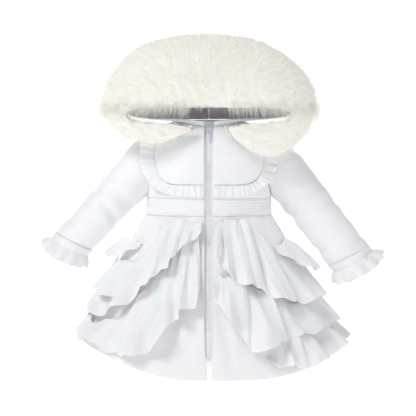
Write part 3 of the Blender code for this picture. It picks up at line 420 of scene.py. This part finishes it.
def taffeta_material():
    """Polyester taffeta: white with a blue cast, a crisp sheen and a plain weave drawn at 0.7 mm."""
    made, tree, shader = new_material(
        "white_polyester_taffeta", "#F4F5F7", 0.5, Sheen_Weight=0.3, Sheen_Roughness=0.5,
        Specular_IOR_Level=0.4, Subsurface_Weight=0.15, Subsurface_Scale=0.003,
    )
    place = add(tree, "ShaderNodeTexCoord").outputs["Object"]
    patches = add(tree, "ShaderNodeTexNoise", {"Vector": place, "Scale": 22, "Detail": 4})
    tint = add(tree, "ShaderNodeMix", {
        "Factor": patches.outputs["Fac"], "A": linear("#EEEFF2"), "B": linear("#F8F8FA"),
    }, data_type="RGBA")
    tree.links.new(tint.outputs["Result"], shader.inputs["Base Color"])
    warp = add(tree, "ShaderNodeTexWave", {
        "Vector": place, "Scale": WEAVE_SCALE, "Distortion": 0.4,
    }, bands_direction="X")
    weft = add(tree, "ShaderNodeTexWave", {
        "Vector": place, "Scale": WEAVE_SCALE, "Distortion": 0.4,
    }, bands_direction="Z")
    cross = add(tree, "ShaderNodeMath", {0: warp.outputs["Fac"], 1: weft.outputs["Fac"]}, operation="MAXIMUM")
    bump = add(tree, "ShaderNodeBump", {"Height": cross.outputs[0], "Strength": 0.15, "Distance": 0.0003})
    crumple = add(tree, "ShaderNodeTexNoise", {"Vector": place, "Scale": 75, "Detail": 3, "Roughness": 0.45})
    soft = add(tree, "ShaderNodeBump", {
        "Height": crumple.outputs["Fac"], "Strength": 0.35, "Distance": 0.0016, "Normal": bump.outputs["Normal"],
    })
    tree.links.new(soft.outputs["Normal"], shader.inputs["Normal"])
    return made


TAFFETA = taffeta_material()

SKIRT_CREASES = table(
    CREASE,
    (-0.014, -0.184, -0.030, -0.300, 0.006, 0.0022),
    (-0.036, -0.184, -0.058, -0.262, 0.005, 0.0018),
    (-0.060, -0.184, -0.085, -0.290, 0.006, 0.0020),
    (-0.086, -0.184, -0.110, -0.268, 0.005, 0.0018),
    (0.018, -0.184, 0.030, -0.262, 0.006, 0.0022),
    (0.042, -0.184, 0.066, -0.300, 0.006, 0.0022),
    (0.066, -0.184, 0.090, -0.266, 0.005, 0.0018),
    (0.092, -0.184, 0.118, -0.300, 0.006, 0.0018),
    (-0.018, -0.330, -0.044, -0.462, 0.010, 0.0022),
    (-0.062, -0.360, -0.096, -0.450, 0.010, 0.0024),
    (0.020, -0.345, 0.046, -0.466, 0.010, 0.0022),
    (0.076, -0.400, 0.100, -0.452, 0.009, 0.0020),
)


def gathers(points, size, seed):
    """Uneven upright folds round the body, about a size wide, between -1 and 1."""
    angle = np.arctan2(points[:, 0], -points[:, 1])
    around = np.stack([angle * 0.13, (points[:, 2] + 0.2) * 0.12, 0 * angle + seed], 1)
    return 1.5 * waves(around, size)


def make_skirt():
    for node in ("skirt_front_left", "skirt_front_right", "skirt_back"):
        piece = smoothed(to_object(node + "_cloth", quads_of(node), TAFFETA), 2)
        points = points_of(piece)
        drop = np.clip((BAND_LOW - points[:, 2]) / 0.3, 0, 1)
        rise = -creases(points, SKIRT_CREASES, front="front" in node)
        rise += 0.0012 * gathers(points, 0.0042, 5.0) * np.exp(-drop * 8)
        rise += 0.0014 * gathers(points, 0.012, 9.0) * np.exp(-drop * 2.5)
        rise += 0.0010 * waves(points, 0.035, stretch=(1, 1, 1.8), seed=2.0)
        if "back" in node:
            rise += 0.0022 * gathers(points, 0.012, 13.0) * np.exp(-drop * 1.5)
            rise += 0.0055 * gathers(points, 0.030, 11.0) * drop
        moved(piece, points + outward_of(points) * (rise * np.clip(drop * 12, 0, 1))[:, None])
        finished(piece, node)


make_skirt()


# The flounces: four strips a side of the same taffeta, cut in curves so that one edge is longer than the other.
# The short edge is gathered and sewn to the skirt, and the long edge falls in open waves with a plain rim.

FLOUNCES = table(
    "side tier width length gather_size gather crumple fold",
    (1, "side", 0.16, 0.050, 0.006, 0.0016, 0.0010, 0.0048),
    (1, "top", 0.46, 0.075, 0.007, 0.0020, 0.0014, 0.0090),
    (1, "middle", 0.36, 0.080, 0.007, 0.0020, 0.0014, 0.0088),
    (1, "low", 0.28, 0.065, 0.007, 0.0018, 0.0014, 0.0080),
    (-1, "side", 0.11, 0.045, 0.006, 0.0014, 0.0010, 0.0048),
    (-1, "top", 0.42, 0.070, 0.007, 0.0020, 0.0014, 0.0090),
    (-1, "middle", 0.14, 0.050, 0.006, 0.0016, 0.0012, 0.0040),
    (-1, "low", 0.45, 0.080, 0.007, 0.0020, 0.0014, 0.0088),
)


def make_flounces():
    for row in FLOUNCES:
        word = "left" if row["side"] > 0 else "right"
        node = "flounce_" + word + "_" + row["tier"]
        piece = smoothed(to_object(node + "_cloth", quads_of(node), TAFFETA), 2)
        points = points_of(piece)
        seed = 40 * row["length"] + row["side"]
        rise = row["gather"] * gathers(points, row["gather_size"], seed)
        rise += row["crumple"] * waves(points, 0.016, seed=seed)
        rise += row["fold"] * (0.35 + gathers(points, 0.017, seed + 3))
        shift = outward_of(points) * rise[:, None]
        shift[:, 0] += 0.7 * row["fold"] * gathers(points, 0.015, seed + 5)
        shift[:, 2] += 0.8 * row["fold"] * gathers(points, 0.014, seed + 7)
        moved(piece, points + shift)
        finished(piece, node)


make_flounces()


# The bib: two rounded panels of taffeta laid on the fronts, each edged with a gathered frill of the same cloth.
# The frill is sewn in under the bib's edge and stands out in close level gathers.

BIB_PIECES = table(
    "name width length gather crumple",
    ("bib", 0.088, 0.125, 0.0003, 0.0006),
    ("bib_frill", 0.19, 0.030, 0.0018, 0.0014),
)


def make_bib():
    for row in BIB_PIECES:
        for word in ("left", "right"):
            node = row["name"] + "_" + word
            piece = smoothed(to_object(node + "_cloth", quads_of(node), TAFFETA), 2)
            points = points_of(piece)
            middle = np.array((0.045 if word == "left" else -0.045, 0, -0.072))
            round_bib = np.arctan2(points[:, 2] - middle[2], points[:, 0] - middle[0])
            reach = np.hypot(points[:, 2] - middle[2], points[:, 0] - middle[0])
            spot = np.stack([round_bib * 0.045, reach * 0.1, 0 * reach], 1)
            rise = row["gather"] * 1.5 * waves(spot, 0.0028, seed=6.0)
            rise += row["crumple"] * waves(points, 0.02, seed=4.0)
            moved(piece, points + outward_of(points) * rise[:, None])
            finished(piece, node)


make_bib()


# The sleeves: padded satin tubes with one underarm seam, set into the armholes.
# They wrinkle softly round the elbow and under the arm, and an elastic draws each into its cuff's frill.

SLEEVE_LINES = {"left": ((0.118, -0.070), (0.268, -0.262)), "right": ((-0.118, -0.070), (-0.262, -0.240))}
SLEEVE_WRINKLES = table(
    "along slant width depth turn",
    (0.10, 0.5, 0.010, 0.0032, 0.4),
    (0.22, -0.6, 0.012, 0.0030, 2.6),
    (0.36, 0.4, 0.011, 0.0034, 4.4),
    (0.47, -0.5, 0.010, 0.0042, 3.6),
    (0.55, 0.6, 0.009, 0.0040, 5.2),
    (0.66, -0.3, 0.011, 0.0030, 1.2),
    (0.80, 0.5, 0.010, 0.0032, 3.2),
    (0.92, -0.4, 0.009, 0.0034, 5.6),
)


def make_sleeves():
    for word, (top, end) in SLEEVE_LINES.items():
        node = "sleeve_" + word
        piece = smoothed(to_object(node + "_padded", quads_of(node), SATIN), 3)
        points = points_of(piece)
        start = np.array((top[0], 0, top[1]))
        run = np.array((end[0], 0, end[1])) - start
        length = np.linalg.norm(run)
        share = (points - start) @ run / length**2
        spokes = points - start - share[:, None] * run
        spokes /= np.linalg.norm(spokes, axis=1, keepdims=True)
        turn = np.arctan2(spokes[:, 1], spokes @ np.cross(run / length, (0, 1, 0)))
        rise = 0.0009 * waves(points, 0.028, seed=8.0)
        for row in SLEEVE_WRINKLES:
            off = (share - row["along"]) * length - row["slant"] * 0.02 * np.sin(turn - row["turn"])
            off = off / row["width"]
            reach = np.clip(0.35 + 0.65 * np.cos(turn - row["turn"]), 0, 1)
            rise += row["depth"] * reach * (0.4 * np.exp(-((off - 1.5) ** 2)) - np.exp(-off**2))
        moved(piece, points + spokes * rise[:, None])
        finished(piece, node)
        node = "cuff_" + word
        piece = smoothed(to_object(node + "_cloth", quads_of(node), TAFFETA), 2)
        points = points_of(piece)
        rise = 0.0008 * waves(points, 0.006, seed=2.0)
        moved(piece, points + outward_of(points - np.array((end[0], 0, 0))) * rise[:, None])
        finished(piece, node)


make_sleeves()


# The hood: a soft bag of two halves of the padded satin, sewn round the neck and fallen shut on the shoulders.
# One seam runs over its top, and its mouth is a level slit with the fur sewn round it.


def make_hood():
    for word in ("left", "right"):
        node = "hood_" + word
        piece = smoothed(to_object(node + "_padded", quads_of(node), SATIN), 2)
        points = points_of(piece)
        rise = 0.0042 * waves(points, 0.040, stretch=(1.6, 1, 1), seed=7.0)
        rise += 0.0018 * waves(points, 0.014, stretch=(1, 1, 1.6), seed=1.0)
        moved(piece, points + outward_of(points) * rise[:, None])
        finished(piece, node)


make_hood()


# The fur: one strip of long-pile faux fur sewn round the hood's mouth, combed outwards and fallen over the slit.
# The backing and the felted depth of the pile are one soft core, and loose hairs stand out of it.
# Those over the ends of the slit are combed down in a longer fringe.

PILE_DEPTH = 0.010
LOCK_SIZE = 0.009
HAIR_THICKNESS = 0.0003
HAIR_LENGTH = 0.0205
HAIRS_PER_SQUARE_METRE = 105000.0
FRINGE_LENGTH = 0.031
FRINGE_PER_SQUARE_METRE = 160000.0
FRINGE_LOW = 0.014
FRINGE_HIGH = 0.036
FRINGE_START = 0.034
UPPER_PILE_FROM = 0.045
MOUTH_CENTRE = (0.0, -0.08, 0.012)


def fur_material():
    """Acrylic pile: cream, matt, a little warmer in random patches than elsewhere."""
    made, tree, shader = new_material(
        "cream_acrylic_fur", "#FFFDF6", 0.8, Sheen_Weight=0.4, Sheen_Roughness=0.6, Specular_IOR_Level=0.2,
        Subsurface_Weight=0.2, Subsurface_Scale=0.004,
    )
    place = add(tree, "ShaderNodeTexCoord").outputs["Object"]
    locks = add(tree, "ShaderNodeTexNoise", {"Vector": place, "Scale": 60, "Detail": 5, "Roughness": 0.65})
    tint = add(tree, "ShaderNodeMix", {
        "Factor": locks.outputs["Fac"], "A": linear("#F8F4E8"), "B": linear("#FFFEFA"),
    }, data_type="RGBA")
    tree.links.new(tint.outputs["Result"], shader.inputs["Base Color"])
    fine = add(tree, "ShaderNodeTexNoise", {"Vector": place, "Scale": 420, "Detail": 4, "Roughness": 0.7})
    bump = add(tree, "ShaderNodeBump", {"Height": fine.outputs["Fac"], "Strength": 0.6, "Distance": 0.001})
    tree.links.new(bump.outputs["Normal"], shader.inputs["Normal"])
    return made


FUR = fur_material()


def pile_tree():
    """Geometry Nodes that plant tapered hairs on a surface.

    Each leans towards the middle of its lock, away from the hood's mouth, and along the comb direction.
    """
    tree = bpy.data.node_groups.new("pile", "GeometryNodeTree")
    tree.interface.new_socket("Backing", in_out="INPUT", socket_type="NodeSocketGeometry")
    for name in ("Density", "Length", "Thickness", "Lock size"):
        tree.interface.new_socket(name, in_out="INPUT", socket_type="NodeSocketFloat")
    tree.interface.new_socket("Seed", in_out="INPUT", socket_type="NodeSocketInt")
    tree.interface.new_socket("Comb", in_out="INPUT", socket_type="NodeSocketVector")
    tree.interface.new_socket("Pile", in_out="OUTPUT", socket_type="NodeSocketGeometry")
    given = add(tree, "NodeGroupInput").outputs
    roots = add(tree, "GeometryNodeDistributePointsOnFaces", {
        "Mesh": given["Backing"], "Density": given["Density"], "Seed": given["Seed"],
    })
    place = add(tree, "GeometryNodeInputPosition").outputs[0]
    share = add(tree, "ShaderNodeMath", {0: 1.0, 1: given["Lock size"]}, operation="DIVIDE")
    cell = add(tree, "ShaderNodeTexVoronoi", {"Vector": place, "Scale": share.outputs[0]})
    inward = add(tree, "ShaderNodeVectorMath", {0: cell.outputs["Position"], 1: place}, operation="SUBTRACT")
    pulled = add(tree, "ShaderNodeVectorMath", {0: inward.outputs[0], "Scale": 75.0}, operation="SCALE")
    loose = add(tree, "FunctionNodeRandomValue", {
        0: (-0.35, -0.35, -0.4), 1: (0.35, 0.35, 0.3), "Seed": given["Seed"],
    }, data_type="FLOAT_VECTOR")
    lean = add(tree, "ShaderNodeVectorMath", {0: pulled.outputs[0], 1: loose.outputs[0]}, operation="ADD")
    away = add(tree, "ShaderNodeVectorMath", {0: place, 1: MOUTH_CENTRE}, operation="SUBTRACT")
    spread = add(tree, "ShaderNodeVectorMath", {
        0: away.outputs[0], 1: (7.0, 0.0, 7.0), 2: given["Comb"],
    }, operation="MULTIPLY_ADD")
    combed = add(tree, "ShaderNodeVectorMath", {0: lean.outputs[0], 1: spread.outputs[0]}, operation="ADD")
    stand = add(tree, "ShaderNodeVectorMath", {0: roots.outputs["Normal"], 1: combed.outputs[0]}, operation="ADD")
    hair = add(tree, "GeometryNodeMeshCone", {
        "Vertices": 3, "Side Segments": 2, "Radius Top": 0.00002, "Radius Bottom": given["Thickness"],
        "Depth": given["Length"],
    }, fill_type="NONE")
    spot = add(tree, "ShaderNodeSeparateXYZ", {0: place})
    height = add(tree, "ShaderNodeMath", {0: spot.outputs["Z"], 1: given["Length"]}, operation="DIVIDE")
    bend = add(tree, "ShaderNodeMath", {0: height.outputs[0], 1: 2.0}, operation="POWER")
    bent = add(tree, "ShaderNodeMath", {0: bend.outputs[0], 1: 0.0035}, operation="MULTIPLY")
    offset = add(tree, "ShaderNodeCombineXYZ", {0: bent.outputs[0]})
    curved = add(tree, "GeometryNodeSetPosition", {"Geometry": hair.outputs["Mesh"], "Offset": offset.outputs[0]})
    upright = add(tree, "FunctionNodeAlignRotationToVector", {"Vector": stand.outputs[0]}, axis="Z")
    spin = add(tree, "FunctionNodeRandomValue", {2: 0.0, 3: 6.283, "Seed": 5}, data_type="FLOAT")
    turn = add(tree, "ShaderNodeCombineXYZ", {2: spin.outputs[1]})
    turned = add(tree, "FunctionNodeRotateRotation", {
        0: upright.outputs[0], 1: turn.outputs[0],
    }, rotation_space="LOCAL")
    size = add(tree, "FunctionNodeRandomValue", {2: 0.6, 3: 1.15, "Seed": 9}, data_type="FLOAT")
    planted = add(tree, "GeometryNodeInstanceOnPoints", {
        "Points": roots.outputs["Points"], "Instance": curved.outputs[0], "Rotation": turned.outputs[0],
        "Scale": size.outputs[1],
    })
    real = add(tree, "GeometryNodeRealizeInstances", {"Geometry": planted.outputs[0]})
    painted = add(tree, "GeometryNodeSetMaterial", {"Geometry": real.outputs[0], "Material": FUR})
    add(tree, "NodeGroupOutput", {0: painted.outputs[0]})
    return tree


def make_fur():
    core = smoothed(to_object("hood_fur_core", quads_of("hood_fur"), FUR), 2)
    points = points_of(core)
    normals = np.empty(len(points) * 3)
    core.data.vertex_normals.foreach_get("vector", normals)
    normals = normals.reshape(-1, 3)
    tufts = 0.0034 * waves(points, 0.011, seed=3.0) + 0.0016 * waves(points, 0.005, seed=5.0)
    moved(core, points + normals * (tufts - 0.0075)[:, None])
    finished(core, "hood_fur")
    backing = points - normals * PILE_DEPTH
    tree = pile_tree()
    sockets = {item.name: item.identifier for item in tree.interface.items_tree}
    full = (HAIRS_PER_SQUARE_METRE, HAIR_LENGTH)
    dense = (FRINGE_PER_SQUARE_METRE, FRINGE_LENGTH)
    for name, wanted, (density, length), comb in (
        ("left_upper", lambda at, way: at.x > 0 and at.z > UPPER_PILE_FROM, full, (0, 0, 0)),
        ("right_upper", lambda at, way: at.x <= 0 and at.z > UPPER_PILE_FROM, full, (0, 0, 0)),
        ("left_lower", lambda at, way: at.x > 0 and at.z <= UPPER_PILE_FROM, full, (0, 0, -0.3)),
        ("right_lower", lambda at, way: at.x <= 0 and at.z <= UPPER_PILE_FROM, full, (0, 0, -0.3)),
        (
            "fringe",
            lambda at, way: (
                FRINGE_LOW < at.z < FRINGE_HIGH and abs(at.x) > FRINGE_START and (way.y < 0.1 or way.z < -0.3)
            ),
            dense,
            (0, -0.8, -3.2),
        ),
    ):
        mesh = core.data.copy()
        pile = bpy.data.objects.new("hood_fur_" + name, mesh)
        bpy.context.scene.collection.objects.link(pile)
        moved(pile, backing)
        shape = bmesh.new()
        shape.from_mesh(mesh)
        out = [f for f in shape.faces if not wanted(f.calc_center_median(), f.normal)]
        bmesh.ops.delete(shape, geom=out, context="FACES")
        shape.to_mesh(mesh)
        shape.free()
        step = pile.modifiers.new("pile", "NODES")
        step.node_group = tree
        step[sockets["Density"]] = density
        step[sockets["Length"]] = length
        step[sockets["Thickness"]] = HAIR_THICKNESS
        step[sockets["Lock size"]] = LOCK_SIZE
        step[sockets["Comb"]] = comb
        step[sockets["Seed"]] = len(name)
        baked(pile)
        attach(pile, "coat")


make_fur()


# The zip: two woven tapes behind the front edges, a nylon coil between them, and a painted zinc slider, pull tab
# and stop. The coil's loops lie side by side and lock in pairs.

COIL_PITCH = 0.0013
COIL_OFFSET = 0.0011
COIL_LOOP = (0.0009, 0.0026, 0.0012)
SEAM_LINES = ((-0.0078, 0.0004), (0.0078, 0.0004), (-0.0044, -0.0003), (0.0044, -0.0003))


def zip_materials():
    """Dyed polyester tape with a rib, injected nylon with a low gloss, and lacquer over cast zinc."""
    tape, tree, shader = new_material("dyed_polyester_tape", "#EFF0F5", 0.7, Sheen_Weight=0.2)
    place = add(tree, "ShaderNodeTexCoord").outputs["Object"]
    rib = add(tree, "ShaderNodeTexWave", {"Vector": place, "Scale": 180.0, "Distortion": 0.3}, bands_direction="Z")
    bump = add(tree, "ShaderNodeBump", {"Height": rib.outputs["Fac"], "Strength": 0.3, "Distance": 0.0004})
    tree.links.new(bump.outputs["Normal"], shader.inputs["Normal"])
    nylon, _, _ = new_material("extruded_nylon_coil", "#ECEDF3", 0.38)
    zinc, tree, shader = new_material("lacquered_zinc", "#DADCE8", 0.3, Coat_Weight=0.4, Coat_Roughness=0.2)
    place = add(tree, "ShaderNodeTexCoord").outputs["Object"]
    cast = add(tree, "ShaderNodeTexNoise", {"Vector": place, "Scale": 900, "Detail": 2})
    bump = add(tree, "ShaderNodeBump", {"Height": cast.outputs["Fac"], "Strength": 0.08, "Distance": 0.0003})
    tree.links.new(bump.outputs["Normal"], shader.inputs["Normal"])
    return tape, nylon, zinc


def make_zip():
    tape, nylon, zinc = zip_materials()
    for node, material in (
        ("zip_tape_left", tape), ("zip_tape_right", tape), ("zip_chain", nylon),
        ("zip_slider", zinc), ("zip_pull", zinc), ("zip_stop", zinc),
    ):
        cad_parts[node].data.materials.clear()
        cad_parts[node].data.materials.append(material)
    chain = np.array([v.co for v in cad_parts["zip_chain"].data.vertices])
    heights = np.unique(chain[:, 2].round(4))
    front = np.array([(0, chain[np.abs(chain[:, 2] - z) < 2e-4][:, 1].min(), z) for z in heights])
    tree = repeat_tree("coil", nylon)
    loop = bar("coil_loop", *COIL_LOOP)
    lines = []
    for side, shift in ((-1, 0.0), (1, COIL_PITCH / 2)):
        line = front + (side * COIL_OFFSET, -0.0001, shift)
        lines.append((line, np.tile((0.0, -1.0, 0.0), (len(line), 1))))
    coil = repeated("zip_coil", tree, lines, loop, COIL_PITCH)
    edges = []
    for x, back in SEAM_LINES:
        line = front + (x, back, 0)
        edges.append((line, np.tile((0.0, -1.0, 0.0), (len(line), 1))))
    seam = repeated("zip_tape_stitches", STITCHES, edges, STITCH, STITCH_PITCH)


make_zip()
